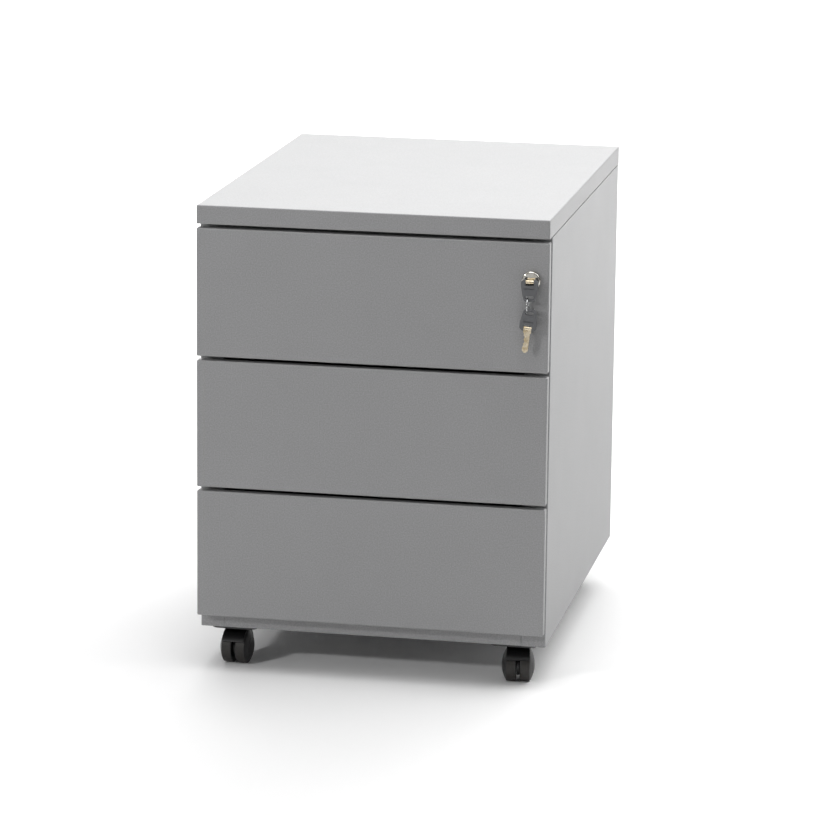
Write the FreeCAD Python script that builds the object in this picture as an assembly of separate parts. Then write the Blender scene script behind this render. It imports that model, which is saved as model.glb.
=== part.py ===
import FreeCAD, Part
import math
import os

# Rolling pedestal cabinet: a folded sheet-steel carcass on four swivel casters, three drawers
# on full-extension slides, and a cylinder lock in the top drawer that works a locking bar.
# Millimetres. +X is to the right of someone facing the drawers, +Y runs into the depth, +Z is up.
# The origin is on the floor, at the middle of the footprint with the keys included.

Vec = FreeCAD.Vector

# ---------------------------------------------------------------- overall sizes
WIDTH = 420.0            # fronts, cover and carcass are flush at both sides
DEPTH = 558.0            # face of the drawer fronts to the back edge of the cover

# ---------------------------------------------------------------- drawer fronts and carcass shell
DRAWER_COUNT = 3
FRONT_HEIGHT = 153.9
FRONT_GAP = 4.9          # between two fronts, and between the top front and the cover
FRONT_THICKNESS = 11.0
FRONT_SHEET = 1.0
GRIP_GAP = 9.0           # finger room between the back of a front and the carcass
RAIL_SHOWN = 18.6        # plinth rail left visible below the lowest front
COVER_HEIGHT = 22.1
COVER_SHEET = 1.0
COVER_BACK_OVERHANG = 5.0
COVER_SIDE_LIP = 14.0
COVER_FRONT_LIP = 45.0
COVER_REAR_LIP = 75.0
SHADOW_GAP = 1.2         # dark line between the cover and the side panels
SHEET = 1.0
FOLD_RADIUS = 1.6        # outside radius of the folded edges
FLANGE = 29.0            # front flange of a side panel
COLUMN_DEPTH = 32.0      # how far the flange's return runs back
REAR_FLANGE = 14.0
TOP_FLANGE = 24.0
BOTTOM_FLANGE = 40.0
RAIL_HEIGHT = 30.0       # plinth rail, folded up from the bottom tray
TOP_RAIL_HEIGHT = 20.0
TOP_RAIL_DEPTH = 30.0
UPRIGHT_DEPTH = 30.0
REAR_POST_INSET = 33.0   # back of the carcass to the back of the rear uprights
SEAM = 0.4               # open joint line between two sheets that meet edge to edge

# ---------------------------------------------------------------- slides and drawer boxes
SLIDE_THICKNESS = 12.5
SLIDE_HEIGHT = 45.0
SLIDE_SHEET = 1.2
SLIDE_FRONT_INSET = 4.0  # carcass front to the front end of the slides
SLIDE_BACK_GAP = 29.0    # back end of the slides to the back of the carcass
BALL_GAP = 3.0           # room for the balls between two slide members
MIDDLE_WEB_OFFSET = 5.2  # fixed web to middle web, from the column face
MIDDLE_FLANGE = 7.0
INNER_FLANGE = 5.0
BOX_SHEET = 1.0
BOX_TOP_GAP = 17.9       # rim of a box to the upper edge of its front
BOX_RISE = 16.0          # lower edge of a front to the underside of its box
BOX_BACK_GAP = 38.0      # back of a box to the back of the carcass
PLATE_CLEARANCE = 0.15

# ---------------------------------------------------------------- lock, locking bar and catches
LOCK_FROM_SIDE = 20.7
LOCK_FROM_FRONT_TOP = 43.7
LOCK_HEAD_RADIUS = 11.0
LOCK_HEAD_REACH = 6.0
LOCK_HEAD_ROUND = 1.8
LOCK_BARREL_RADIUS = 8.5
LOCK_BARREL_LENGTH = 17.0
PLUG_RADIUS = 6.0
PLUG_CLEARANCE = 0.05
BARREL_CLEARANCE = 0.2
NUT_FLATS = 22.0
NUT_THICKNESS = 3.2
CAM_RIM = 0.6            # metal of the cam outside its pin
CAM_THICKNESS = 2.5
CAM_PIN_RADIUS = 2.0
CAM_THROW = 6.0
KEY_TURN = 90.0          # degrees, half above and half below the horizontal
BAR_THICKNESS = 2.0
BAR_WIDTH = 18.0
BAR_SETBACK = 6.0        # face of the carcass to the face of the bar
BAR_FROM_COLUMN = 5.0    # column return to the near edge of the bar
BAR_TAIL = 26.0          # how far the bar runs past its end features
BAR_SLOT_CLEARANCE = 0.4
HOOK_REACH = 9.0         # how far a hook stands out of the column towards the box
HOOK_HEIGHT = 7.0
HOOK_CLEARANCE = 1.5
CATCH_BELOW_RIM = 30.0   # rim of a box to the middle of its catch
CATCH_ABOVE_SLIDE = 23.5  # upper edge of the slides to the underside of a catch
CATCH_HEIGHT = 8.0
CATCH_LENGTH = 12.0
CATCH_SIDE_CLEARANCE = 3.0
CATCH_ENGAGEMENT = 6.0   # height of hook behind which the catch is held
GUIDE_HEIGHT = 10.0
GUIDE_WALL = 2.6
GUIDE_CLEARANCE = 0.25

# ---------------------------------------------------------------- keys and ring
KEY_HINGE_REACH = 12.0   # face of the front to the hinge pin of the folded key
BOW_LENGTH = 26.2
BOW_BUTT = 3.2           # hinge pin to the hinged end of the bow
BOW_WIDE = 20.0
BOW_NARROW = 13.0
BOW_THICKNESS = 3.6
BOW_ROUND = 3.5
BOW_EDGE_ROUND = 0.6
BOW_WEB = 3.1            # material between the slot and the free end of the bow
BOW_SLOT_WIDTH = 10.4
BOW_SLOT_HEIGHT = 3.8
BOW_SLIT_WIDTH = 11.0    # moulded slit across the front of the bow
BOW_SLIT_HEIGHT = 1.3
BOW_SLIT_DEPTH = 0.9
BOW_SLIT_DROP = 7.9      # hinge pin to the middle of the slit
BOW_FORK_WIDTH = 10.0
BOW_FORK_DEPTH = 4.2
BLADE_REACH = 29.0       # hinge pin to the tip
BLADE_THICKNESS = 2.0
BLADE_ROOT_WIDTH = 9.0
BLADE_WIDTH = 7.0
BLADE_SHOULDER_CLEARANCE = 0.3  # shoulder of the blade to the face of the plug
BLADE_GROOVE = 0.45
BLADE_BARREL_RADIUS = 2.4
BLADE_CLEARANCE = 0.15
HINGE_PIN_RADIUS = 0.9
HINGE_CLEARANCE = 0.05
RING_RADIUS = 8.25       # centre line of the wire
RING_WIRE_RADIUS = 0.7
RING_CLEARANCE = 0.2
RING_FROM_LOCK = -2.0    # ring's place across the lock's axis
SPARE_FROM_RING = 2.5    # spare key's centre line across the ring
SPARE_TILT = 6.5         # degrees off plumb, because it hangs from one end of its slot

# ---------------------------------------------------------------- casters
CASTER_FROM_SIDE = 39.5  # side of the carcass to the swivel axis
CASTER_FROM_END = 48.0   # carcass front or back to the swivel axis
CASTER_PLATE_WIDTH = 57.0
CASTER_PLATE_LENGTH = 88.0
CASTER_PLATE_THICKNESS = 3.0
CASTER_PLATE_ROUND = 10.0
STEM_THREAD_RADIUS = 5.0
STEM_THREAD_RISE = 8.0
STEM_COLLAR_RADIUS = 8.0
STEM_COLLAR_HEIGHT = 2.0
STEM_PIVOT_RADIUS = 4.0
STEM_PIVOT_LENGTH = 14.0
STEM_CLEARANCE = 0.05
STEM_HOLE_CLEARANCE = 1.0
WHEEL_RADIUS = 20.0
WHEEL_INNER_FACE = 2.2   # middle plane of the caster to a wheel's inner face
WHEEL_TREAD_EDGE = 14.0  # middle plane to the outer edge of the tread
WHEEL_HUB_FACE = 19.8    # middle plane to the crown of the domed face
WHEEL_EDGE_ROUND = 1.5
WHEEL_CAP_RADIUS = 12.0  # groove round the hub cap
WHEEL_CAP_GROOVE = 0.6
SWIVEL_INSIDE_TREAD = 0.5  # the stem's axis is this far inside the tread's circle
AXLE_RADIUS = 3.0
AXLE_HALF_LENGTH = 16.5
AXLE_CLEARANCE = 0.06
AXLE_END_CLEARANCE = 0.5
WEB_HALF_THICKNESS = 1.7
WEB_RADIUS = 13.0
HOOD_WHEEL_CLEARANCE = 1.0
HOOD_THICKNESS = 1.8
HOOD_BELOW_COLLAR = 3.2  # top of the hood's shell to the stem's collar
HOOD_HALF_WIDTH = 13.6
HOOD_FRONT_ANGLE = 27.0  # degrees above the axle where the hood ends in front
HOOD_REAR_ANGLE = 8.0
BOSS_RADIUS = 8.5
BOSS_FLOOR = 1.0
HOOD_TOP_CLEARANCE = 0.3
CASTER_TURN = {"front_left": -4.0, "front_right": 8.0, "rear_left": 3.0, "rear_right": -6.0}

# ---------------------------------------------------------------- sizes that follow from these
SET_BACK = FRONT_THICKNESS + GRIP_GAP
BOW_FREE_END = BOW_LENGTH - BOW_BUTT
SLOT_FAR = BOW_FREE_END - BOW_WEB
BLADE_ROOT_LENGTH = KEY_HINGE_REACH - LOCK_HEAD_REACH - BLADE_SHOULDER_CLEARANCE
RING_DROP = SLOT_FAR - RING_WIRE_RADIUS - RING_CLEARANCE
KEY_REACH = KEY_HINGE_REACH + RING_RADIUS + RING_WIRE_RADIUS
FACE_Y = (KEY_REACH - DEPTH) / 2
CARCASS_FRONT = FACE_Y + SET_BACK
COVER_BACK = FACE_Y + DEPTH
CARCASS_BACK = COVER_BACK - COVER_BACK_OVERHANG
HOOD_INNER_RADIUS = WHEEL_RADIUS + HOOD_WHEEL_CLEARANCE
HOOD_OUTER_RADIUS = HOOD_INNER_RADIUS + HOOD_THICKNESS
CASTER_TRAIL = WHEEL_RADIUS - SWIVEL_INSIDE_TREAD
COLLAR_BOTTOM = WHEEL_RADIUS + HOOD_OUTER_RADIUS + HOOD_BELOW_COLLAR
PLATE_BOTTOM = COLLAR_BOTTOM + STEM_COLLAR_HEIGHT
PIVOT_BOTTOM = COLLAR_BOTTOM - STEM_PIVOT_LENGTH
BASE_Z = PLATE_BOTTOM + CASTER_PLATE_THICKNESS
FRONT_PITCH = FRONT_HEIGHT + FRONT_GAP
COVER_Z = BASE_Z + RAIL_SHOWN + DRAWER_COUNT * FRONT_PITCH
TOP_Z = COVER_Z + COVER_HEIGHT
PANEL_TOP = COVER_Z - SHADOW_GAP
HALF = WIDTH / 2
COLUMN_FACE = HALF - FLANGE
BOX_HALF = COLUMN_FACE - SLIDE_THICKNESS
SLIDE_FRONT = CARCASS_FRONT + SLIDE_FRONT_INSET
SLIDE_BACK = CARCASS_BACK - SLIDE_BACK_GAP
BOX_BACK = CARCASS_BACK - BOX_BACK_GAP
BOX_HEIGHT = FRONT_HEIGHT - BOX_RISE - BOX_TOP_GAP
CATCH_RISE = BOX_HEIGHT - CATCH_BELOW_RIM - CATCH_HEIGHT / 2
SLIDE_RISE = CATCH_RISE - CATCH_ABOVE_SLIDE - SLIDE_HEIGHT / 2
LOCK_X = HALF - LOCK_FROM_SIDE
LOCK_Z = COVER_Z - FRONT_GAP - LOCK_FROM_FRONT_TOP
CAM_RADIUS = CAM_THROW + CAM_PIN_RADIUS + CAM_RIM
BAR_TRAVEL = 2 * CAM_THROW * math.sin(math.radians(KEY_TURN / 2))
BAR_X = COLUMN_FACE + BAR_FROM_COLUMN
BAR_Y = CARCASS_FRONT + BAR_SETBACK
CATCH_Y = BAR_Y + BAR_THICKNESS + HOOK_CLEARANCE
REAR_POST_BACK = CARCASS_BACK - REAR_POST_INSET
REAR_RAIL_FRONT = REAR_POST_BACK - TOP_RAIL_DEPTH
CASTER_X = HALF - CASTER_FROM_SIDE
CASTER_SPOTS = {
    "front_left": (-CASTER_X, CARCASS_FRONT + CASTER_FROM_END),
    "front_right": (CASTER_X, CARCASS_FRONT + CASTER_FROM_END),
    "rear_left": (-CASTER_X, CARCASS_BACK - CASTER_FROM_END),
    "rear_right": (CASTER_X, CARCASS_BACK - CASTER_FROM_END),
}
THROUGH = 2.0            # extra length of a cutting tool past the face it leaves

X_AXIS = Vec(1, 0, 0)
Y_AXIS = Vec(0, 1, 0)
Z_AXIS = Vec(0, 0, 1)
ORIGIN = Vec(0, 0, 0)


# ---------------------------------------------------------------- small helpers
def block(x_range, y_range, z_range):
    """A box between two values on each axis."""
    size = [abs(high - low) for low, high in (x_range, y_range, z_range)]
    corner = Vec(min(x_range), min(y_range), min(z_range))
    return Part.makeBox(size[0], size[1], size[2], corner)


def rod(radius, start, length, axis):
    """A cylinder from a point along an axis."""
    return Part.makeCylinder(radius, length, start, axis)


def prism(points, run):
    """A closed outline pushed along a vector."""
    outline = Part.makePolygon([Vec(*point) for point in points + points[:1]])
    return Part.Face(outline).extrude(run)


def mirrored(shape):
    """The same piece on the other side of the middle plane."""
    return shape.mirror(ORIGIN, X_AXIS)


def turned(shape, centre, axis, degrees):
    """A copy turned about an axis through a point."""
    copy = shape.copy()
    copy.rotate(centre, axis, degrees)
    return copy


def moved(shape, offset):
    """A copy moved by a vector."""
    copy = shape.copy()
    copy.translate(offset)
    return copy


def joined(shapes):
    """One solid from shapes that share faces or overlap."""
    return shapes[0].multiFuse(shapes[1:]).removeSplitter()


def rounded(shape, radius, wanted):
    """Fillet the edges for which wanted(edge's bounding box) is true."""
    edges = [edge for edge in shape.Edges if wanted(edge.BoundBox)]
    return shape.makeFillet(radius, edges)


def near(value, target):
    """True when two lengths are the same."""
    return abs(value - target) < 1e-4


def save(name, shapes):
    """Write one node, as a single solid or as a group of separate solids."""
    shape = shapes[0] if len(shapes) == 1 else Part.makeCompound(shapes)
    shape.exportStep("parts/" + name + ".step")


# ---------------------------------------------------------------- carcass
def top_cover():
    """Folded lid with its skirt turned in underneath, resting on the two top rails."""
    lid = block((-HALF, HALF), (FACE_Y, COVER_BACK), (COVER_Z, TOP_Z))
    lid = rounded(lid, FOLD_RADIUS, lambda box: box.ZMax > COVER_Z + FOLD_RADIUS)
    inner = HALF - COVER_SHEET
    room = block((-inner, inner), (FACE_Y + COVER_SHEET, COVER_BACK - COVER_SHEET),
                 (COVER_Z + COVER_SHEET, TOP_Z - COVER_SHEET))
    mouth_half = HALF - COVER_SIDE_LIP
    mouth = block((-mouth_half, mouth_half), (FACE_Y + COVER_FRONT_LIP, COVER_BACK - COVER_REAR_LIP),
                  (COVER_Z - THROUGH, COVER_Z + COVER_SHEET + THROUGH))
    lid = lid.cut(room).cut(mouth)
    for x, y in cover_screw_spots():
        lid = lid.cut(rod(2.1, Vec(x, y, COVER_Z - THROUGH), 2 * THROUGH + COVER_SHEET, Z_AXIS))
    return lid


def cover_screw_spots():
    """Two screws in each top rail, through the cover's turned-in lips."""
    front = CARCASS_FRONT + SHEET + TOP_RAIL_DEPTH / 2
    rear = REAR_RAIL_FRONT + TOP_RAIL_DEPTH / 2
    across = COLUMN_FACE - 2 * TOP_RAIL_DEPTH
    return [(x, y) for x in (-across, across) for y in (front, rear)]


def cover_screws():
    """Pan-head screws from inside the top rails up into the cover."""
    screws = []
    for x, y in cover_screw_spots():
        head = rod(4.0, Vec(x, y, COVER_Z - SHEET - 2.4), 2.4, Z_AXIS)
        head = rounded(head, 1.0, lambda box: box.ZMax < COVER_Z - SHEET - 1.0)
        shank = rod(2.0, Vec(x, y, COVER_Z - SHEET - 0.4), 9.0, Z_AXIS)
        screws.append(joined([head, shank]))
    return screws


def side_panel():
    """Right side panel: outer skin, front column, rear flange, top and bottom flanges."""
    front, back = CARCASS_FRONT, CARCASS_BACK
    column_back = front + COLUMN_DEPTH
    inner = HALF - SHEET
    outline = [(HALF, back), (HALF, front), (COLUMN_FACE, front), (COLUMN_FACE, column_back),
               (COLUMN_FACE + SHEET, column_back), (COLUMN_FACE + SHEET, front + SHEET),
               (inner, front + SHEET), (inner, back - SHEET),
               (HALF - REAR_FLANGE, back - SHEET), (HALF - REAR_FLANGE, back)]
    shell = prism([(x, y, BASE_Z) for x, y in outline], Vec(0, 0, PANEL_TOP - BASE_Z))
    shell = rounded(shell, FOLD_RADIUS, lambda box: near(box.XMin, HALF) and
                    box.ZLength > BASE_Z and near(box.YLength, 0))
    top = block((HALF - TOP_FLANGE, inner), (front + SHEET, back - SHEET),
                (PANEL_TOP - SHEET, PANEL_TOP))
    bottom = block((HALF - BOTTOM_FLANGE, inner), (front + SHEET + SEAM, back - SHEET),
                   (BASE_Z, BASE_Z + SHEET))
    return joined([shell, top, bottom])


def stem_holes():
    """Clearance holes for the four caster stems."""
    radius = STEM_THREAD_RADIUS + STEM_HOLE_CLEARANCE
    return [rod(radius, Vec(x, y, BASE_Z - THROUGH), 3 * THROUGH, Z_AXIS)
            for x, y in CASTER_SPOTS.values()]


def lock_windows():
    """Openings in the right column: one for the cam's pin, one for each hook of the bar."""
    margin = CAM_PIN_RADIUS + HOOK_CLEARANCE
    pin_window = block((LOCK_X, LOCK_X + CAM_THROW + margin),
                       (CARCASS_FRONT - THROUGH, CARCASS_FRONT + SHEET + THROUGH),
                       (LOCK_Z - BAR_TRAVEL / 2 - margin, LOCK_Z + BAR_TRAVEL / 2 + margin))
    windows = [pin_window]
    for number in range(1, DRAWER_COUNT + 1):
        low = hook_z(number) - BAR_TRAVEL - HOOK_CLEARANCE
        high = hook_z(number) + HOOK_HEIGHT + HOOK_CLEARANCE
        windows.append(block((COLUMN_FACE - THROUGH, COLUMN_FACE + SHEET + THROUGH),
                             (BAR_Y - HOOK_CLEARANCE, BAR_Y + BAR_THICKNESS + HOOK_CLEARANCE),
                             (low, high)))
    return windows


def back_panel():
    """Flat rear sheet held inside the rear flanges of the side panels."""
    half = HALF - SHEET - SEAM
    return block((-half, half), (CARCASS_BACK - 2 * SHEET, CARCASS_BACK - SHEET),
                 (BASE_Z + 2 * SHEET, PANEL_TOP - SHEET))


def bottom_tray():
    """Floor of the carcass, with the plinth rail folded up in front and a lip at the back."""
    half = COLUMN_FACE - SEAM
    floor = block((-half, half), (CARCASS_FRONT, CARCASS_BACK - 2 * SHEET),
                  (BASE_Z + SHEET, BASE_Z + 2 * SHEET))
    rail = block((-half, half), (CARCASS_FRONT, CARCASS_FRONT + SHEET),
                 (BASE_Z, BASE_Z + RAIL_HEIGHT))
    rail = rounded(rail, FOLD_RADIUS / 2, lambda box: near(box.ZMax, BASE_Z) and
                   near(box.YMax, CARCASS_FRONT))
    stiffener = block((-half, half), (CARCASS_FRONT, CARCASS_FRONT + 4 * SHEET),
                      (BASE_Z + RAIL_HEIGHT - SHEET, BASE_Z + RAIL_HEIGHT))
    tray = joined([floor, rail, stiffener])
    for hole in stem_holes():
        tray = tray.cut(hole)
    return tray


def top_rail(front_y):
    """Inverted channel across the top of the carcass, between the columns."""
    half = COLUMN_FACE
    back_y = front_y + TOP_RAIL_DEPTH
    low = COVER_Z - TOP_RAIL_HEIGHT
    body = block((-half, half), (front_y, back_y), (low, COVER_Z))
    room = block((-half - THROUGH, half + THROUGH), (front_y + SHEET, back_y - SHEET),
                 (low - THROUGH, COVER_Z - SHEET))
    rail = body.cut(room)
    for x, y in cover_screw_spots():
        rail = rail.cut(rod(2.1, Vec(x, y, COVER_Z - THROUGH), 2 * THROUGH, Z_AXIS))
    return rail


def rear_upright():
    """Right rear upright: the channel that carries the back ends of the fixed slides."""
    back = REAR_POST_BACK
    body = block((COLUMN_FACE, HALF - SHEET), (back - UPRIGHT_DEPTH, back),
                 (BASE_Z + SHEET, PANEL_TOP - SHEET))
    room = block((COLUMN_FACE + SHEET, HALF), (back - UPRIGHT_DEPTH + SHEET, back - SHEET),
                 (BASE_Z, PANEL_TOP))
    return body.cut(room)


# ---------------------------------------------------------------- slides
def front_low(number):
    """Lower edge of a drawer front; drawer 1 is the top one."""
    return BASE_Z + RAIL_SHOWN + (DRAWER_COUNT - number) * FRONT_PITCH


def box_low(number):
    """Underside of a drawer box."""
    return front_low(number) + BOX_RISE


def slide_channel(near_x, far_x, web_x, half_height, sheet, number):
    """One right-hand slide member: an upright web and two flanges."""
    middle = box_low(number) + SLIDE_RISE
    run = (SLIDE_FRONT, SLIDE_BACK)
    web = block((web_x, web_x + sheet), run, (middle - half_height, middle + half_height))
    upper = block((near_x, far_x), run, (middle + half_height - sheet, middle + half_height))
    lower = block((near_x, far_x), run, (middle - half_height, middle - half_height + sheet))
    return joined([web, upper, lower])


def fixed_slide(number):
    """Outer member, screwed to the column and to the rear upright."""
    return slide_channel(COLUMN_FACE - SLIDE_THICKNESS + 2 * SLIDE_SHEET, COLUMN_FACE,
                         COLUMN_FACE - SLIDE_SHEET, SLIDE_HEIGHT / 2, SLIDE_SHEET, number)


def middle_half_height():
    """Half height of the middle slide member."""
    return SLIDE_HEIGHT / 2 - SLIDE_SHEET - BALL_GAP


def middle_slide(number):
    """Middle member, which runs out half as far as the drawer."""
    web_x = COLUMN_FACE - MIDDLE_WEB_OFFSET - SLIDE_SHEET
    centre = web_x + SLIDE_SHEET / 2
    return slide_channel(centre - MIDDLE_FLANGE / 2, centre + MIDDLE_FLANGE / 2, web_x,
                         middle_half_height(), SLIDE_SHEET, number)


def inner_slide(number):
    """Inner member, screwed to the side of the drawer box."""
    half_height = middle_half_height() - SLIDE_SHEET - BALL_GAP
    return slide_channel(BOX_HALF, BOX_HALF + INNER_FLANGE, BOX_HALF, half_height, SLIDE_SHEET,
                         number)


# ---------------------------------------------------------------- drawers
def lock_hole():
    """Round hole for the lock's barrel, through everything near the face."""
    start = Vec(LOCK_X, FACE_Y - THROUGH, LOCK_Z)
    return rod(LOCK_BARREL_RADIUS + BARREL_CLEARANCE, start, SET_BACK, Y_AXIS)


def drawer_front(number):
    """Folded front shell, open at the back."""
    low = front_low(number)
    high = low + FRONT_HEIGHT
    shell = block((-HALF, HALF), (FACE_Y, FACE_Y + FRONT_THICKNESS), (low, high))
    shell = rounded(shell, FOLD_RADIUS, lambda box: box.YMin < FACE_Y + FRONT_THICKNESS - 1e-3)
    inner = HALF - FRONT_SHEET
    room = block((-inner, inner), (FACE_Y + FRONT_SHEET, FACE_Y + FRONT_THICKNESS + THROUGH),
                 (low + FRONT_SHEET, high - FRONT_SHEET))
    shell = shell.cut(room)
    return shell.cut(lock_hole()) if number == 1 else shell


def drawer_box(number):
    """Open box whose front wall is the broad plate that closes the front shell."""
    low = box_low(number)
    high = low + BOX_HEIGHT
    start = FACE_Y + FRONT_THICKNESS - BOX_SHEET
    end = BOX_BACK
    body = block((-BOX_HALF, BOX_HALF), (start, end), (low, high))
    room = block((-BOX_HALF + BOX_SHEET, BOX_HALF - BOX_SHEET), (start + BOX_SHEET, end - BOX_SHEET),
                 (low + BOX_SHEET, high + THROUGH))
    inset = FRONT_SHEET + PLATE_CLEARANCE
    plate = block((-HALF + inset, HALF - inset), (start, start + BOX_SHEET),
                  (front_low(number) + inset, front_low(number) + FRONT_HEIGHT - inset))
    box = joined([body.cut(room), plate])
    return box.cut(lock_hole()) if number == 1 else box


def catch_low(number):
    """Lower face of a drawer's catch."""
    return box_low(number) + CATCH_RISE


def drawer_catch(number):
    """Block riveted to the right side of the box, behind which a hook drops."""
    low = catch_low(number)
    return block((BOX_HALF, COLUMN_FACE - CATCH_SIDE_CLEARANCE), (CATCH_Y, CATCH_Y + CATCH_LENGTH),
                 (low, low + CATCH_HEIGHT))


# ---------------------------------------------------------------- locking bar
def hook_z(number):
    """Lower edge of a hook with the bar raised, which is the unlocked place."""
    return catch_low(number) + CATCH_HEIGHT - CATCH_ENGAGEMENT + BAR_TRAVEL


def lock_bar():
    """Flat vertical bar with a slot for the cam's pin and one hook for each drawer."""
    low = hook_z(DRAWER_COUNT) - BAR_TAIL
    high = LOCK_Z + BAR_TAIL
    bar_range = (BAR_Y, BAR_Y + BAR_THICKNESS)
    strip = block((BAR_X, BAR_X + BAR_WIDTH), bar_range, (low, high))
    hooks = [block((COLUMN_FACE - HOOK_REACH, BAR_X + SHEET), bar_range,
                   (hook_z(number), hook_z(number) + HOOK_HEIGHT))
             for number in range(1, DRAWER_COUNT + 1)]
    bar = joined([strip] + hooks)
    half_height = CAM_PIN_RADIUS + BAR_SLOT_CLEARANCE
    near_x = LOCK_X + CAM_THROW * math.cos(math.radians(KEY_TURN / 2)) - CAM_PIN_RADIUS
    far_x = LOCK_X + CAM_THROW + CAM_PIN_RADIUS
    middle = LOCK_Z + BAR_TRAVEL / 2
    slot = block((near_x - 2 * BAR_SLOT_CLEARANCE, far_x + 2 * BAR_SLOT_CLEARANCE),
                 (BAR_Y - THROUGH, BAR_Y + BAR_THICKNESS + THROUGH),
                 (middle - half_height, middle + half_height))
    return bar.cut(slot)


def lock_bar_guides():
    """Plastic guides on the back of the right flange, one below each hook but the top one."""
    gap = GUIDE_CLEARANCE
    guides = []
    for number in range(2, DRAWER_COUNT + 1):
        low = hook_z(number) + 3 * GUIDE_HEIGHT
        body = block((BAR_X - GUIDE_WALL, BAR_X + BAR_WIDTH + GUIDE_WALL),
                     (CARCASS_FRONT + SHEET, BAR_Y + BAR_THICKNESS + GUIDE_WALL),
                     (low, low + GUIDE_HEIGHT))
        room = block((BAR_X - gap, BAR_X + BAR_WIDTH + gap),
                     (BAR_Y - gap, BAR_Y + BAR_THICKNESS + gap),
                     (low - THROUGH, low + GUIDE_HEIGHT + THROUGH))
        guides.append(body.cut(room))
    return guides


# ---------------------------------------------------------------- lock
def lock_body():
    """Plated cylinder with a rounded head in front of the drawer and a barrel through it."""
    face = Vec(LOCK_X, FACE_Y - LOCK_HEAD_REACH, LOCK_Z)
    head = rod(LOCK_HEAD_RADIUS, face, LOCK_HEAD_REACH, Y_AXIS)
    head = rounded(head, LOCK_HEAD_ROUND, lambda box: near(box.YMax, face.y))
    barrel = rod(LOCK_BARREL_RADIUS, face, LOCK_HEAD_REACH + LOCK_BARREL_LENGTH - THROUGH, Y_AXIS)
    bore = rod(PLUG_RADIUS + PLUG_CLEARANCE, face - Vec(0, THROUGH, 0), 4 * CAM_RADIUS, Y_AXIS)
    return joined([head, barrel]).cut(bore)


def lock_nut():
    """Hexagon nut that clamps the barrel to the drawer's inner plate."""
    start = FACE_Y + FRONT_THICKNESS
    corner = NUT_FLATS / math.sqrt(3)
    angles = [math.radians(60 * step) for step in range(6)]
    points = [(LOCK_X + corner * math.cos(a), start, LOCK_Z + corner * math.sin(a)) for a in angles]
    nut = prism(points, Vec(0, NUT_THICKNESS, 0))
    return nut.cut(rod(LOCK_BARREL_RADIUS, Vec(LOCK_X, start - THROUGH, LOCK_Z), SET_BACK, Y_AXIS))


def lock_plug():
    """Turning core with a keyway; it ends flush with the head."""
    start = Vec(LOCK_X, FACE_Y - LOCK_HEAD_REACH, LOCK_Z)
    plug = rod(PLUG_RADIUS, start, LOCK_HEAD_REACH + LOCK_BARREL_LENGTH, Y_AXIS)
    half_width = BLADE_WIDTH / 2 + BLADE_CLEARANCE
    half_height = BLADE_THICKNESS / 2 + BLADE_CLEARANCE
    deep = BLADE_REACH - KEY_HINGE_REACH + BLADE_CLEARANCE
    keyway = block((LOCK_X - half_width, LOCK_X + half_width), (start.y - THROUGH, FACE_Y + deep),
                   (LOCK_Z - half_height, LOCK_Z + half_height))
    return plug.cut(keyway)


def lock_cam():
    """Disc on the back of the plug, with an off-centre pin that works the bar."""
    start = Vec(LOCK_X, FACE_Y + LOCK_BARREL_LENGTH, LOCK_Z)
    disc = rod(CAM_RADIUS, start, CAM_THICKNESS, Y_AXIS)
    reach = BAR_Y + BAR_THICKNESS + THROUGH / 2 - start.y
    angle = math.radians(KEY_TURN / 2)
    offset = Vec(CAM_THROW * math.cos(angle), 0, CAM_THROW * math.sin(angle))
    return joined([disc, rod(CAM_PIN_RADIUS, start + offset, reach, Y_AXIS)])


# ---------------------------------------------------------------- keys, drawn hanging straight down
def key_bow():
    """Moulded bow: forked round the hinge above, tapering to a slot for the ring below."""
    wide, narrow = BOW_WIDE / 2, BOW_NARROW / 2
    half = BOW_THICKNESS / 2
    bend = BOW_FREE_END / 2
    outline = [(-wide + 3, BOW_BUTT), (wide - 3, BOW_BUTT), (wide, 0), (wide, -bend / 2),
               (narrow + 1.6, -bend * 1.5), (narrow, -BOW_FREE_END), (-narrow, -BOW_FREE_END),
               (-narrow - 1.6, -bend * 1.5), (-wide, -bend / 2), (-wide, 0)]
    bow = prism([(x, -half, z) for x, z in outline], Vec(0, BOW_THICKNESS, 0))
    bow = rounded(bow, BOW_ROUND, lambda box: box.YLength > half and near(box.ZLength, 0) and
                  near(box.ZMin, -BOW_FREE_END))
    bow = rounded(bow, BOW_EDGE_ROUND, lambda box: near(box.YLength, 0))
    slot_half = (BOW_SLOT_WIDTH - BOW_SLOT_HEIGHT) / 2
    radius = BOW_SLOT_HEIGHT / 2
    slot_z = -SLOT_FAR + radius
    slot = block((-slot_half, slot_half), (-BOW_THICKNESS, BOW_THICKNESS),
                 (slot_z - radius, slot_z + radius))
    ends = [rod(radius, Vec(side * slot_half, -BOW_THICKNESS, slot_z), 2 * BOW_THICKNESS, Y_AXIS)
            for side in (-1, 1)]
    fork = block((-BOW_FORK_WIDTH / 2, BOW_FORK_WIDTH / 2), (-BOW_THICKNESS, BOW_THICKNESS),
                 (-BOW_FORK_DEPTH, BOW_BUTT + THROUGH))
    slit = block((-BOW_SLIT_WIDTH / 2, BOW_SLIT_WIDTH / 2), (-half - THROUGH, -half + BOW_SLIT_DEPTH),
                 (-BOW_SLIT_DROP - BOW_SLIT_HEIGHT / 2, -BOW_SLIT_DROP + BOW_SLIT_HEIGHT / 2))
    pin_hole = rod(HINGE_PIN_RADIUS, Vec(-BOW_WIDE / 2, 0, 0), BOW_WIDE, X_AXIS)
    return bow.cut(joined([slot] + ends)).cut(fork).cut(slit).cut(pin_hole)


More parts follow.
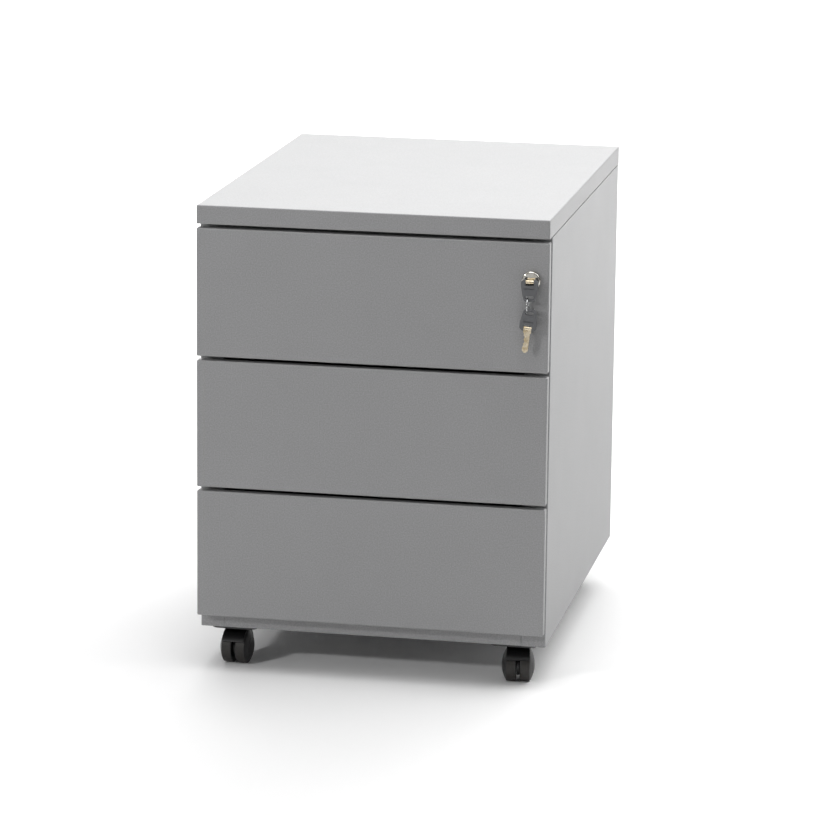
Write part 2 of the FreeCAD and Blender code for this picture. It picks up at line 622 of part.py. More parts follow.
def key_hinge_pin():
    """Steel pin across the bow's fork."""
    length = BOW_WIDE - 2 * BOW_EDGE_ROUND
    return rod(HINGE_PIN_RADIUS, Vec(-length / 2, 0, 0), length, X_AXIS)


def key_blade():
    """Flat blade that points up from the hinge, away from the bow, with grooves and notches."""
    half = BLADE_THICKNESS / 2
    root, width = BLADE_ROOT_WIDTH / 2, BLADE_WIDTH / 2
    shoulder, tip = BLADE_ROOT_LENGTH, BLADE_REACH
    notches = [(width, shoulder + 3), (width - 1.2, shoulder + 4.5), (width - 1.2, shoulder + 6),
               (width - 0.3, shoulder + 7.5), (width - 1.6, shoulder + 9.5),
               (width - 1.6, shoulder + 11), (width - 0.5, shoulder + 12.5),
               (width - 1.0, shoulder + 14.5), (width, shoulder + 16.5)]
    outline = [(-root, 0), (root, 0), (root, shoulder), (width, shoulder)] + notches
    outline += [(width, tip - 2.5), (1.0, tip), (-1.0, tip), (-width, tip - 2.5),
                (-width, shoulder), (-root, shoulder)]
    plate = prism([(x, -half, z) for x, z in outline], Vec(0, BLADE_THICKNESS, 0))
    barrel = rod(BLADE_BARREL_RADIUS, Vec(-root, 0, 0), BLADE_ROOT_WIDTH, X_AXIS)
    blade = joined([plate, barrel])
    for side in (-1, 1):
        groove_y = (side * half, side * (half - BLADE_GROOVE))
        blade = blade.cut(block((-1.6, 0.2), groove_y, (shoulder + 1, tip + THROUGH)))
    hole = rod(HINGE_PIN_RADIUS + HINGE_CLEARANCE, Vec(-BLADE_ROOT_WIDTH, 0, 0),
               2 * BLADE_ROOT_WIDTH, X_AXIS)
    return blade.cut(hole)


def key_ring():
    """Closed wire ring, hanging edge-on in the slot of the folded key."""
    centre = ring_top() - Vec(0, 0, RING_RADIUS)
    return Part.makeTorus(RING_RADIUS, RING_WIRE_RADIUS, centre, X_AXIS)


def hinge_point():
    """Hinge pin of the key that is in the lock."""
    return Vec(LOCK_X, FACE_Y - KEY_HINGE_REACH, LOCK_Z)


def ring_top():
    """Centre of the ring's wire where it passes through the folded key's slot."""
    return hinge_point() + Vec(RING_FROM_LOCK, 0, -RING_DROP)


def ring_bottom():
    """Centre of the ring's wire where the spare key hangs."""
    return ring_top() - Vec(0, 0, 2 * RING_RADIUS)


def spare_hinge_height():
    """Hinge pin of the spare key, measured down from the ring's wire."""
    return RING_DROP


def in_lock(shape):
    """Place a bow or pin, drawn hanging from its hinge, on the key in the lock."""
    return moved(shape, hinge_point())


def blade_in_lock():
    """The first key's blade, turned to point into the lock."""
    return in_lock(turned(key_blade(), ORIGIN, X_AXIS, -90))


def on_ring(shape):
    """Turn a piece of the second key upside down and hang it, tilted, from the ring."""
    flipped = turned(shape, ORIGIN, Y_AXIS, 180)
    hung = moved(flipped, ring_bottom() + Vec(SPARE_FROM_RING, 0, -spare_hinge_height()))
    return turned(hung, ring_bottom(), Y_AXIS, SPARE_TILT)


# ---------------------------------------------------------------- casters
def caster_plate(spot):
    """Rounded reinforcing plate under a corner of the carcass, tapped for the stem."""
    x, y = spot
    half_x, half_y = CASTER_PLATE_WIDTH / 2, CASTER_PLATE_LENGTH / 2
    plate = block((x - half_x, x + half_x), (y - half_y, y + half_y), (PLATE_BOTTOM, BASE_Z))
    plate = rounded(plate, CASTER_PLATE_ROUND, lambda box: near(box.ZLength, BASE_Z - PLATE_BOTTOM))
    return plate.cut(rod(STEM_THREAD_RADIUS, Vec(x, y, PLATE_BOTTOM - THROUGH),
                         CASTER_PLATE_THICKNESS + 2 * THROUGH, Z_AXIS))


def caster_stem(spot):
    """Threaded stem with a collar, and the plain pivot that the hood swivels on."""
    x, y = spot
    thread = rod(STEM_THREAD_RADIUS, Vec(x, y, PLATE_BOTTOM - STEM_COLLAR_HEIGHT / 2),
                 CASTER_PLATE_THICKNESS + STEM_THREAD_RISE + STEM_COLLAR_HEIGHT / 2, Z_AXIS)
    collar = rod(STEM_COLLAR_RADIUS, Vec(x, y, COLLAR_BOTTOM), STEM_COLLAR_HEIGHT, Z_AXIS)
    pivot = rod(STEM_PIVOT_RADIUS, Vec(x, y, PIVOT_BOTTOM),
                STEM_PIVOT_LENGTH + STEM_COLLAR_HEIGHT / 2, Z_AXIS)
    return joined([thread, collar, pivot])


def caster_hood():
    """Hood over the wheels, with a central web for the axle and a boss for the stem."""
    axle = Vec(0, -CASTER_TRAIL, WHEEL_RADIUS)
    sweep = 180 - HOOD_FRONT_ANGLE
    outer = slice_about_axle(HOOD_OUTER_RADIUS, HOOD_HALF_WIDTH, HOOD_REAR_ANGLE, sweep)
    inner = rod(HOOD_INNER_RADIUS, axle - Vec(2 * HOOD_HALF_WIDTH, 0, 0), 4 * HOOD_HALF_WIDTH, X_AXIS)
    shell = outer.cut(inner)
    web = slice_about_axle(HOOD_OUTER_RADIUS - 0.5, WEB_HALF_THICKNESS, HOOD_REAR_ANGLE, sweep)
    hub = rod(WEB_RADIUS, axle - Vec(WEB_HALF_THICKNESS, 0, 0), 2 * WEB_HALF_THICKNESS, X_AXIS)
    boss_low = PIVOT_BOTTOM - BOSS_FLOOR
    boss_high = COLLAR_BOTTOM - HOOD_TOP_CLEARANCE
    boss = rod(BOSS_RADIUS, Vec(0, 0, boss_low), boss_high - boss_low, Z_AXIS)
    room = rod(HOOD_INNER_RADIUS, axle + Vec(WEB_HALF_THICKNESS, 0, 0), 2 * BOSS_RADIUS, X_AXIS)
    boss = boss.cut(room).cut(mirrored(room))
    hood = joined([shell, web, hub, boss])
    bore = rod(STEM_PIVOT_RADIUS + STEM_CLEARANCE, Vec(0, 0, PIVOT_BOTTOM - BOSS_FLOOR / 2),
               BASE_Z, Z_AXIS)
    axle_hole = rod(AXLE_RADIUS, axle - Vec(BOSS_RADIUS, 0, 0), 2 * BOSS_RADIUS, X_AXIS)
    top_trim = block((-BASE_Z, BASE_Z), (-BASE_Z, BASE_Z),
                     (boss_high, boss_high + BASE_Z))
    return hood.cut(bore).cut(axle_hole).cut(top_trim)


def slice_about_axle(radius, half_width, low_angle, high_angle):
    """Part of a disc about the axle; angles are counted up from the rear horizontal."""
    centre_y, centre_z = -CASTER_TRAIL, WHEEL_RADIUS
    slab = Part.makeCylinder(radius, 2 * half_width, ORIGIN, Z_AXIS, high_angle - low_angle)
    slab.rotate(ORIGIN, Z_AXIS, low_angle)
    slab.rotate(ORIGIN, Vec(1, 1, 1), 120)
    return moved(slab, Vec(-half_width, centre_y, centre_z))


def caster_axle():
    """Steel axle, fixed in the hood's web."""
    start = Vec(-AXLE_HALF_LENGTH, -CASTER_TRAIL, WHEEL_RADIUS)
    return rod(AXLE_RADIUS, start, 2 * AXLE_HALF_LENGTH, X_AXIS)


def caster_wheel():
    """Right-hand wheel: plain tread and a domed outer face, with a blind bore for the axle."""
    face, edge, crown = WHEEL_INNER_FACE, WHEEL_TREAD_EDGE, WHEEL_HUB_FACE
    disc = rod(WHEEL_RADIUS, Vec(face, 0, 0), crown - face, X_AXIS)
    disc = rounded(disc, WHEEL_EDGE_ROUND, lambda box: near(box.XMax, face))
    dome_centre = (crown ** 2 - edge ** 2 - WHEEL_RADIUS ** 2) / (2 * (crown - edge))
    dome = Part.makeSphere(crown - dome_centre)
    dome.translate(Vec(dome_centre, 0, 0))
    cap_groove = Part.makeTorus(WHEEL_CAP_RADIUS, WHEEL_CAP_GROOVE, Vec(cap_face(), 0, 0), X_AXIS)
    bore = rod(AXLE_RADIUS + AXLE_CLEARANCE, ORIGIN, AXLE_HALF_LENGTH + AXLE_END_CLEARANCE, X_AXIS)
    wheel = disc.common(dome).cut(cap_groove).cut(bore)
    return moved(wheel, Vec(0, -CASTER_TRAIL, WHEEL_RADIUS))


def cap_face():
    """Where the dome stands at the radius of the hub cap's groove."""
    edge, crown = WHEEL_TREAD_EDGE, WHEEL_HUB_FACE
    dome_centre = (crown ** 2 - edge ** 2 - WHEEL_RADIUS ** 2) / (2 * (crown - edge))
    return dome_centre + math.sqrt((crown - dome_centre) ** 2 - WHEEL_CAP_RADIUS ** 2)


def at_caster(shape, corner):
    """Turn a caster piece to its rest direction and set it under its corner."""
    x, y = CASTER_SPOTS[corner]
    return moved(turned(shape, ORIGIN, Z_AXIS, CASTER_TURN[corner]), Vec(x, y, 0))


# ---------------------------------------------------------------- writing the nodes
def write_carcass():
    """The fixed shell, its rails, fixed slides, guides, plates, stems and screws."""
    left_holes, right_side = stem_holes(), side_panel()
    left_side = mirrored(right_side)
    for hole in left_holes:
        left_side = left_side.cut(hole)
        right_side = right_side.cut(hole)
    for window in lock_windows():
        right_side = right_side.cut(window)
    numbers = range(1, DRAWER_COUNT + 1)
    save("top_cover", [top_cover()])
    save("cover_screws", cover_screws())
    save("side_panel_left", [left_side])
    save("side_panel_right", [right_side])
    save("back_panel", [back_panel()])
    save("bottom_tray", [bottom_tray()])
    save("front_top_rail", [top_rail(CARCASS_FRONT + SHEET)])
    save("rear_top_rail", [top_rail(REAR_RAIL_FRONT)])
    save("rear_uprights", [rear_upright(), mirrored(rear_upright())])
    save("fixed_slides_right", [fixed_slide(number) for number in numbers])
    save("fixed_slides_left", [mirrored(fixed_slide(number)) for number in numbers])
    save("caster_plates", [caster_plate(spot) for spot in CASTER_SPOTS.values()])
    save("caster_stems", [caster_stem(spot) for spot in CASTER_SPOTS.values()])


def write_drawers():
    """Fronts, boxes, catches and the moving slide members."""
    for number in range(1, DRAWER_COUNT + 1):
        name = "drawer_" + str(number)
        save(name + "_front", [drawer_front(number)])
        save(name + "_box", [drawer_box(number)])
        save(name + "_catch", [drawer_catch(number)])
        save(name + "_inner_slides", [inner_slide(number), mirrored(inner_slide(number))])
        save(name + "_middle_slides", [middle_slide(number), mirrored(middle_slide(number))])


def write_lock():
    """Lock, locking bar, keys and ring."""
    save("lock_bar", [lock_bar()])
    save("lock_bar_guides", lock_bar_guides())
    save("lock_body", [lock_body()])
    save("lock_nut", [lock_nut()])
    save("lock_plug", [lock_plug()])
    save("lock_cam", [lock_cam()])
    save("key_blade", [blade_in_lock()])
    save("key_bow", [in_lock(key_bow())])
    save("key_hinge_pin", [in_lock(key_hinge_pin())])
    save("key_ring", [key_ring()])
    save("spare_key_blade", [on_ring(key_blade())])
    save("spare_key_bow", [on_ring(key_bow())])
    save("spare_key_hinge_pin", [on_ring(key_hinge_pin())])


def write_casters():
    """Four twin-wheel casters."""
    for corner in CASTER_SPOTS:
        save(corner + "_caster_hood", [at_caster(caster_hood(), corner)])
        save(corner + "_caster_axle", [at_caster(caster_axle(), corner)])
        save(corner + "_caster_wheel_right", [at_caster(caster_wheel(), corner)])
        save(corner + "_caster_wheel_left", [at_caster(mirrored(caster_wheel()), corner)])


os.makedirs("parts", exist_ok=True)
write_carcass()
write_drawers()
write_lock()
write_casters()
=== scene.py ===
# %% [markdown]
# # A rolling pedestal cabinet
# The cabinet is folded sheet steel with three drawers, a key lock and four twin-wheel
# casters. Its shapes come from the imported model, which stays where it is. What is left
# to make here is the look: the paint, plating and plastics, the split ring that the
# keys hang on, and a plain studio around it all.

# %% Load the frame
import math

import bmesh
import bpy
from mathutils import Matrix, Vector


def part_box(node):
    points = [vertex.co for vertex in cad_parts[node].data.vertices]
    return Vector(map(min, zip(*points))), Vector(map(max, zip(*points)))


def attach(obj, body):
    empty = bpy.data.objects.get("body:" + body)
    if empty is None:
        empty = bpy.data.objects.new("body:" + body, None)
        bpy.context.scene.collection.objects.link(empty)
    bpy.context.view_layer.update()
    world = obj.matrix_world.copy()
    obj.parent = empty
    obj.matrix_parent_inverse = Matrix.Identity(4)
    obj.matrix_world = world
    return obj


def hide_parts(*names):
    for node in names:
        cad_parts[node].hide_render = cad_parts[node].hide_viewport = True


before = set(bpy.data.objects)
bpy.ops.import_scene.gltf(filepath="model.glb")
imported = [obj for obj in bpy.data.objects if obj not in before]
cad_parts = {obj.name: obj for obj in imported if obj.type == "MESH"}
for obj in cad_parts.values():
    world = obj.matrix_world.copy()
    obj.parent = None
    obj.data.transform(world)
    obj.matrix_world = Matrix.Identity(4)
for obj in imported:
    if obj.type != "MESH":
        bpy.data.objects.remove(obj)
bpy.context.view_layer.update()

# %% [markdown]
# Colours are picked as the hex values that a paint chip or a screen shows. Blender's
# shaders work in linear light, so one function turns a hex value into linear numbers.

# %% Colours
def linear(hex_colour):
    """Linear red, green, blue and alpha of an sRGB hex colour."""
    values = [int(hex_colour[i:i + 2], 16) / 255 for i in (1, 3, 5)]
    return [v / 12.92 if v <= 0.04045 else ((v + 0.055) / 1.055) ** 2.4 for v in values] + [1.0]


print("mid grey in linear light", [round(v, 3) for v in linear("#808080")])

# %% [markdown]
# A material is a small network of nodes. One function adds a node with its settings
# and its links, so each finish below reads as a short recipe. Every finish starts from
# the same pair: the surface shader, and the object's own coordinates in metres, which
# keep a pattern still on its piece when a drawer slides or a wheel turns.

# %% Building a finish
def add(tree, kind, settings=None, links=None):
    """Adds a node, sets its sockets or properties, and links its inputs."""
    node = tree.nodes.new("ShaderNode" + kind)
    properties = {p.identifier for p in node.bl_rna.properties}
    for name, value in (settings or {}).items():
        if name in properties:
            setattr(node, name, value)
        else:
            node.inputs[name].default_value = value
    for name, source in (links or {}).items():
        tree.links.new(source, node.inputs[name])
    return node


def start_finish(name, colour, metallic, roughness):
    """A new material with its shader's even values set; also returns its nodes to build on."""
    material = bpy.data.materials.new(name)
    material.use_nodes = True
    tree = material.node_tree
    shader = tree.nodes["Principled BSDF"]
    shader.inputs["Base Color"].default_value = linear(colour)
    shader.inputs["Metallic"].default_value = metallic
    shader.inputs["Roughness"].default_value = roughness
    material.diffuse_color = linear(colour)
    place = add(tree, "TexCoord").outputs["Object"]
    return material, tree, shader, place


def every(millimetres):
    """Texture scale of a pattern that repeats about every so many millimetres."""
    return 1000 / millimetres


print("a 2 mm grain has scale", every(2))

# %% [markdown]
# The panels, cover and fronts are powder-coated steel. The powder melts into a film
# with a faint ripple, called orange peel, and the silver-grey powder carries fine metal
# flakes that sparkle a little. Grains of 0.3 mm are too fine to show, so they are drawn
# at about 1.5 mm. Hands and dusters leave wide, very faint smoother patches. The same
# patches also carry faint darker and lighter blotches in the colour, which are painted shade.

# %% Powder-coated steel
COAT_FLAKE_MM = 1.5
COAT_PEEL_MM = 2.2
COAT_PATCH_MM = 60


def powder_coated_steel(name, colour, roughness):
    """Silver-grey powder coat over folded steel."""
    material, tree, shader, place = start_finish(name, colour, 0.0, roughness)
    base = Vector(linear(colour)[:3])
    flakes = add(tree, "TexNoise", {"Scale": every(COAT_FLAKE_MM), "Detail": 2.0},
                 {"Vector": place})
    patches = add(tree, "TexNoise", {"Scale": every(COAT_PATCH_MM), "Detail": 3.0},
                  {"Vector": place})
    sparkle = add(tree, "ValToRGB", None, {"Fac": flakes.outputs["Fac"]})
    sparkle.color_ramp.elements[0].position = 0.35
    sparkle.color_ramp.elements[1].position = 0.68
    sparkle.color_ramp.elements[0].color = [*(base * 0.9), 1]
    sparkle.color_ramp.elements[1].color = [*(base * 1.11), 1]
    # Painted shade: faint darker and lighter blotches multiplied into the coat's colour. Only the
    # roughness change that follows the same noise stands for wiping.
    painted_shade_patches = add(tree, "ValToRGB", None, {"Fac": patches.outputs["Fac"]})
    painted_shade_patches.color_ramp.elements[0].color = (0.965, 0.965, 0.962, 1)
    painted_shade_patches.color_ramp.elements[1].color = (1.02, 1.02, 1.02, 1)
    tone = add(tree, "Mix", {"data_type": "RGBA", "blend_type": "MULTIPLY"})
    tone.inputs[0].default_value = 1.0
    tree.links.new(sparkle.outputs["Color"], tone.inputs[6])
    tree.links.new(painted_shade_patches.outputs["Color"], tone.inputs[7])
    tree.links.new(tone.outputs[2], shader.inputs["Base Color"])
    sheen = add(tree, "MapRange", {"To Min": roughness - 0.04, "To Max": roughness + 0.04},
                {"Value": patches.outputs["Fac"]})
    tree.links.new(sheen.outputs["Result"], shader.inputs["Roughness"])
    peel = add(tree, "TexNoise", {"Scale": every(COAT_PEEL_MM), "Detail": 1.0}, {"Vector": place})
    ripple = add(tree, "Bump", {"Strength": 0.12, "Distance": 0.0001},
                 {"Height": peel.outputs["Fac"]})
    tree.links.new(ripple.outputs["Normal"], shader.inputs["Normal"])
    return material


cabinet_paint = powder_coated_steel("silver_grey_powder_coat", "#8b8b8c", 0.42)
box_paint = powder_coated_steel("drawer_box_powder_coat", "#858687", 0.5)
print(cabinet_paint.name, box_paint.name)

# %% [markdown]
# The slides, catches, bar and stems are zinc-plated steel. Plating keeps the fine lines
# that rolling left in the strip, and clouds a little with age. The lines run along the
# cabinet's depth, so the coordinates are stretched that way before the noise reads them.

# %% Zinc-plated steel
ROLL_LINE_MM = 0.9
ROLL_STRETCH = 40
ZINC_CLOUD_MM = 18


def zinc_plated_steel():
    """Rolled strip with a dull zinc plate."""
    material, tree, shader, place = start_finish("zinc_plated_steel", "#b4b7ba", 1.0, 0.36)
    along = add(tree, "Mapping", {"Scale": (1, 1 / ROLL_STRETCH, 1)}, {"Vector": place})
    lines = add(tree, "TexNoise", {"Scale": every(ROLL_LINE_MM), "Detail": 3.0},
                {"Vector": along.outputs["Vector"]})
    clouds = add(tree, "TexNoise", {"Scale": every(ZINC_CLOUD_MM), "Detail": 4.0},
                 {"Vector": place})
    tint = add(tree, "ValToRGB", None, {"Fac": clouds.outputs["Fac"]})
    tint.color_ramp.elements[0].color = linear("#a3a6aa")
    tint.color_ramp.elements[1].color = linear("#c6c7c4")
    tree.links.new(tint.outputs["Color"], shader.inputs["Base Color"])
    dull = add(tree, "MapRange", {"To Min": 0.28, "To Max": 0.46},
               {"Value": lines.outputs["Fac"]})
    tree.links.new(dull.outputs["Result"], shader.inputs["Roughness"])
    grain = add(tree, "Bump", {"Strength": 0.08, "Distance": 0.00005},
                {"Height": lines.outputs["Fac"]})
    tree.links.new(grain.outputs["Normal"], shader.inputs["Normal"])
    return material


slide_zinc = zinc_plated_steel()
print(slide_zinc.name)

# %% [markdown]
# Three small metals meet at the lock. Its body and plug are zinc alloy with a bright
# nickel plate, the key blades are nickel silver, which is a pale yellow alloy, and the
# ring is hard spring wire. All are worn by pockets and fingers: fine scratches dull a
# polished metal without changing its colour much, so one recipe serves all three.

# %% Small bright metals
SCRATCH_MM = 1.4
STAIN_MM = 6


def handled_metal(name, colour, worn_colour, roughness):
    """Polished or rolled metal with hairline scratches."""
    material, tree, shader, place = start_finish(name, colour, 1.0, roughness)
    tilted = add(tree, "Mapping", {"Rotation": (0.4, 0.9, 0.2), "Scale": (1, 0.08, 1)},
                 {"Vector": place})
    hairs = add(tree, "TexNoise", {"Scale": every(SCRATCH_MM), "Detail": 4.0},
                {"Vector": tilted.outputs["Vector"]})
    dull = add(tree, "MapRange", {"From Min": 0.35, "From Max": 0.7, "To Min": roughness * 0.75,
                                  "To Max": roughness * 1.6}, {"Value": hairs.outputs["Fac"]})
    tree.links.new(dull.outputs["Result"], shader.inputs["Roughness"])
    stain = add(tree, "TexNoise", {"Scale": every(STAIN_MM), "Detail": 3.0}, {"Vector": place})
    tone = add(tree, "ValToRGB", None, {"Fac": stain.outputs["Fac"]})
    tone.color_ramp.elements[0].color = linear(worn_colour)
    tone.color_ramp.elements[0].position = 0.35
    tone.color_ramp.elements[1].color = linear(colour)
    tone.color_ramp.elements[1].position = 0.6
    tree.links.new(tone.outputs["Color"], shader.inputs["Base Color"])
    marks = add(tree, "Bump", {"Strength": 0.1, "Distance": 0.00003},
                {"Height": hairs.outputs["Fac"]})
    tree.links.new(marks.outputs["Normal"], shader.inputs["Normal"])
    return material


lock_nickel = handled_metal("nickel_plated_zinc_alloy", "#dcdad4", "#c3beb2", 0.16)
key_nickel_silver = handled_metal("nickel_silver", "#dbcfb8", "#c0ae8c", 0.26)
ring_steel = handled_metal("bright_spring_steel", "#d2d3d3", "#aeb0b1", 0.18)
print(lock_nickel.name, key_nickel_silver.name, ring_steel.name)

# %% [markdown]
# The key bows, caster hoods and wheels are moulded plastics. A moulded skin copies the
# mould's spark-eroded grain, and pigment flows leave slight cloudiness. The wheels pick
# up dust where they roll, so their treads are paler and rougher than their faces: a tread
# is where the surface doesn't face along the axle, which the object's own normal tells.

# %% Moulded plastics
GRAIN_MM = 0.7
FLOW_MM = 9
DUST_MM = 2.5


def moulded_plastic(name, colour, roughness, cloud):
    """Pigmented plastic with a fine moulded grain; cloud is how much its tone varies."""
    material, tree, shader, place = start_finish(name, colour, 0.0, roughness)
    base = Vector(linear(colour)[:3])
    flow = add(tree, "TexNoise", {"Scale": every(FLOW_MM), "Detail": 3.0}, {"Vector": place})
    tone = add(tree, "ValToRGB", None, {"Fac": flow.outputs["Fac"]})
    tone.color_ramp.elements[0].color = [*(base * (1 - cloud)), 1]
    tone.color_ramp.elements[1].color = [*(base * (1 + cloud)), 1]
    tree.links.new(tone.outputs["Color"], shader.inputs["Base Color"])
    grain = add(tree, "TexVoronoi", {"Scale": every(GRAIN_MM)}, {"Vector": place})
    skin = add(tree, "Bump", {"Strength": 0.12, "Distance": 0.00005},
               {"Height": grain.outputs["Distance"]})
    tree.links.new(skin.outputs["Normal"], shader.inputs["Normal"])
    return material


def rolled_wheel_plastic():
    """Black nylon whose tread carries floor dust."""
    material = moulded_plastic("black_nylon_wheel", "#121213", 0.4, 0.25)
    tree = material.node_tree
    shader = tree.nodes["Principled BSDF"]
    clean = shader.inputs["Base Color"].links[0].from_socket
    coordinates = tree.nodes["Texture Coordinate"]
    facing = add(tree, "SeparateXYZ", None, {"Vector": coordinates.outputs["Normal"]})
    along = add(tree, "Math", {"operation": "ABSOLUTE"}, {0: facing.outputs["X"]})
    tread = add(tree, "MapRange", {"From Min": 0.45, "From Max": 0.15},
                {"Value": along.outputs["Value"]})
    specks = add(tree, "TexNoise", {"Scale": every(DUST_MM), "Detail": 5.0},
                 {"Vector": coordinates.outputs["Object"]})
    dusty = add(tree, "Math", {"operation": "MULTIPLY"},
                {0: tread.outputs["Result"], 1: specks.outputs["Fac"]})
    mixed = add(tree, "Mix", {"data_type": "RGBA"})
    tree.links.new(dusty.outputs["Value"], mixed.inputs[0])
    tree.links.new(clean, mixed.inputs[6])
    mixed.inputs[7].default_value = linear("#332f2b")
    tree.links.new(mixed.outputs[2], shader.inputs["Base Color"])
    rough = add(tree, "MapRange", {"To Min": 0.4, "To Max": 0.7}, {"Value": dusty.outputs["Value"]})
    tree.links.new(rough.outputs["Result"], shader.inputs["Roughness"])
    return material


bow_plastic = moulded_plastic("grey_glass_filled_nylon", "#58595b", 0.42, 0.08)
hood_plastic = moulded_plastic("black_nylon_hood", "#131314", 0.3, 0.15)
wheel_plastic = rolled_wheel_plastic()
guide_plastic = moulded_plastic("black_acetal", "#202022", 0.3, 0.1)
plate_paint = powder_coated_steel("black_painted_steel", "#242425", 0.4)
print(bow_plastic.name, hood_plastic.name, wheel_plastic.name, guide_plastic.name)

# %% [markdown]
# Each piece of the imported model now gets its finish. The rules go by what a piece is,
# and the first rule whose word is in the piece's name wins.

# %% Give every piece its finish
FINISH_BY_WORD = [
    ("caster_wheel", wheel_plastic),
    ("caster_hood", hood_plastic),
    ("caster_plates", plate_paint),
    ("bow", bow_plastic),
    ("blade", key_nickel_silver),
    ("lock_plug", lock_nickel),
    ("lock_body", lock_nickel),
    ("lock_nut", lock_nickel),
    ("key_ring", ring_steel),
    ("lock_bar_guides", guide_plastic),
    ("slides", slide_zinc),
    ("catch", slide_zinc),
    ("stems", slide_zinc),
    ("axle", slide_zinc),
    ("screws", slide_zinc),
    ("pin", ring_steel),
    ("lock_cam", slide_zinc),
    ("lock_bar", slide_zinc),
    ("_box", box_paint),
]
for node_name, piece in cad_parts.items():
    finish = next((m for word, m in FINISH_BY_WORD if word in node_name), cabinet_paint)
    piece.data.materials.clear()
    piece.data.materials.append(finish)
print("finished", len(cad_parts), "pieces")

# %% [markdown]
# The keys hang on a split ring: flat spring wire wound almost twice round, so that a key
# can be pushed in between its turns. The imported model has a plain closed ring, which is
# all that its motion needs, and a closer piece takes its place here. A short bend carries
# the wire from one turn to the next, and both ends stop near that bend. The wire's
# section comes first: a small rectangle with rounded corners.

# %% The ring's wire
WIRE_CORNER = 0.00026
WIRE_CORNER_STEPS = 3


def wire_section(half_width, half_height):
    """Points round a small rectangle with rounded corners."""
    points = []
    for quarter, (side, end) in enumerate(((1, 1), (-1, 1), (-1, -1), (1, -1))):
        for step in range(WIRE_CORNER_STEPS + 1):
            angle = math.radians(90 * (quarter + step / WIRE_CORNER_STEPS))
            points.append((side * (half_width - WIRE_CORNER) + WIRE_CORNER * math.cos(angle),
                           end * (half_height - WIRE_CORNER) + WIRE_CORNER * math.sin(angle)))
    return points


print("points in a section", len(wire_section(0.001, 0.001)))

# %% [markdown]
# A curve with a bevel would twist the flat section at the bend. Here the section's points
# are placed round the ring in steps instead, always square to the ring's axis, and skinned
# with faces. The side-to-side shift follows a sine through the bend, so it starts and ends
# smoothly.

# %% Split ring
RING_BEND_DEGREES = 16
RING_END_DEGREES = 24
RING_STEP_DEGREES = 4
TURN_GAP = 0.00003


def split_ring():
    """Flat wire in two turns side by side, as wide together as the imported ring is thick."""
    low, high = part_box("key_ring")
    centre = (low + high) / 2
    thickness = high.x - low.x
    radius = (high.z - low.z - thickness) / 2
    section = wire_section((thickness / 2 - TURN_GAP) / 2, thickness / 2)
    points, faces = [], []
    steps = (720 - 2 * RING_END_DEGREES) // RING_STEP_DEGREES
    for step in range(steps + 1):
        degrees = RING_END_DEGREES + step * RING_STEP_DEGREES
        across = min(max((degrees - 360) / RING_BEND_DEGREES, -1), 1)
        side = math.sin(across * math.pi / 2) * thickness / 4
        outward = Vector((0, math.cos(math.radians(degrees)), math.sin(math.radians(degrees))))
        points += [centre + Vector((side + wide, 0, 0)) + outward * (radius + deep)
                   for wide, deep in section]
    count = len(section)
    for step in range(steps):
        for corner in range(count):
            nearby = (corner + 1) % count
            faces.append((step * count + corner, step * count + nearby,
                          (step + 1) * count + nearby, (step + 1) * count + corner))
    faces += [tuple(reversed(range(count))), tuple(steps * count + i for i in range(count))]
    mesh = bpy.data.meshes.new("split_ring")
    mesh.from_pydata(points, [], faces)
    work = bmesh.new()
    work.from_mesh(mesh)
    bmesh.ops.recalc_face_normals(work, faces=work.faces)
    for face in work.faces:
        face.smooth = len(face.verts) == 4
    work.to_mesh(mesh)
    work.free()
    piece = bpy.data.objects.new("split_ring", mesh)
    bpy.context.collection.objects.link(piece)
    piece.data.materials.append(ring_steel)
    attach(piece, "key_ring")
    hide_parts("key_ring")
    return piece


print("split ring", len(split_ring().data.polygons), "faces")

# %% [markdown]
# The studio is a large pale floor and soft boxes. A soft box is an area light, and its
# brightness is written as what the camera would see if it looked at it, so its power
# is that brightness times pi times its area.

# %% Floor and lights
FLOOR_SIZE = 60
FLOOR_PATCH_MM = 900


def pale_floor():
    """A wide, plain floor in a smooth pale paint."""
    bpy.ops.mesh.primitive_plane_add(size=FLOOR_SIZE)
    floor = bpy.context.object
    floor.name = "studio_floor"
    material, tree, shader, place = start_finish("pale_floor_paint", "#f6f6f6", 0.0, 0.9)
    patches = add(tree, "TexNoise", {"Scale": every(FLOOR_PATCH_MM)}, {"Vector": place})
    tone = add(tree, "ValToRGB", None, {"Fac": patches.outputs["Fac"]})
    tone.color_ramp.elements[0].color = linear("#f5f5f5")
    tone.color_ramp.elements[1].color = linear("#f8f8f8")
    tree.links.new(tone.outputs["Color"], shader.inputs["Base Color"])
    floor.data.materials.append(material)
    return floor


def soft_box(name, position, target, width, height, brightness):
    """An area light that faces a target."""
    light = bpy.data.lights.new(name, "AREA")
    light.shape = "RECTANGLE"
    light.size, light.size_y = width, height
    light.energy = brightness * math.pi * width * height
    lamp = bpy.data.objects.new(name, light)
    lamp.location = position
    lamp.rotation_euler = (Vector(target) - Vector(position)).to_track_quat("-Z", "Y").to_euler()
    lamp.visible_camera = False
    bpy.context.collection.objects.link(lamp)
    return lamp


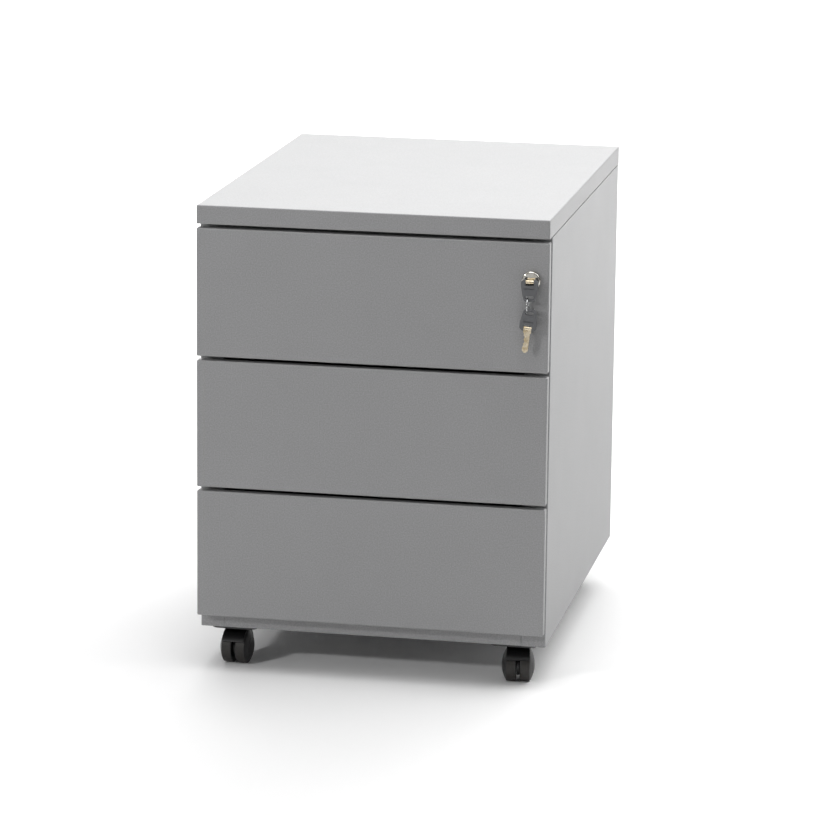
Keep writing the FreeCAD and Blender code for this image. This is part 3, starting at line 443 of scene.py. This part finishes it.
pale_floor()
middle = (0, 0, 0.3)
soft_box("top_soft_box", (0, 0.2, 2.4), middle, 2.4, 2.4, 0.7)
soft_box("top_front_soft_box", (0, -0.7, 2.2), (0, -0.2, 0.5), 1.2, 1.2, 3.4)
soft_box("back_soft_box", (1, 3.4, 1.7), middle, 6, 3, 1.02)
soft_box("right_high_soft_box", (2.4, 0.4, 2), (0.2, 0, 0.45), 1.6, 1.2, 0.36)
soft_box("right_soft_box", (1.1, 0, 1.5), (0.21, 0, 0.45), 0.8, 1, 3.6)
soft_box("left_lamp", (-2.2, -2.9, 1.75), (0.19, -0.27, 0.48), 0.25, 0.25, 195)
soft_box("front_soft_box", (0.3, -1.3, 1.5), (0.05, -0.3, 0.5), 1, 0.6, 0.9)
soft_box("far_floor_soft_box", (-0.5, 5.5, 3.5), (-0.5, 5.6, 0), 7, 6, 4.2)
room = bpy.data.worlds.new("studio_room")
room.use_nodes = True
room.node_tree.nodes["Background"].inputs["Color"].default_value = linear("#ffffff")
room.node_tree.nodes["Background"].inputs["Strength"].default_value = 0.19
bpy.context.scene.world = room
bpy.context.scene.view_settings.view_transform = "Standard"

# %% [markdown]
# The camera stands well back to the right of the cabinet's front and looks slightly
# down, through a long lens, so upright edges stay nearly parallel. Its aim is given as
# turn, tilt and roll, and the rotation matrix is built from them.

# %% Camera
FRONT_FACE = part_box("drawer_1_front")[0].y
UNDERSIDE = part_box("bottom_tray")[0].z
CAMERA_PLACE = Vector((0.89823, FRONT_FACE - 4.36164, UNDERSIDE + 1.30847))
CAMERA_TURN = math.radians(11.073)
CAMERA_TILT = math.radians(12.937)
CAMERA_ROLL = math.radians(0.579)
CAMERA_LENS_MM = 171.89
SENSOR_MM = 36

ahead = Vector((-math.sin(CAMERA_TURN) * math.cos(CAMERA_TILT),
                math.cos(CAMERA_TURN) * math.cos(CAMERA_TILT), -math.sin(CAMERA_TILT)))
level = Vector((math.cos(CAMERA_TURN), math.sin(CAMERA_TURN), 0))
upward = level.cross(ahead)
right = level * math.cos(CAMERA_ROLL) + upward * math.sin(CAMERA_ROLL)
top = upward * math.cos(CAMERA_ROLL) - level * math.sin(CAMERA_ROLL)
camera = bpy.data.objects.new("camera", bpy.data.cameras.new("camera"))
camera.data.sensor_width = SENSOR_MM
camera.data.lens = CAMERA_LENS_MM
turn = Matrix((right, top, -ahead)).transposed().to_4x4()
camera.matrix_world = Matrix.Translation(CAMERA_PLACE) @ turn
bpy.context.collection.objects.link(camera)
bpy.context.scene.camera = camera
print("camera", [round(v, 3) for v in camera.location])
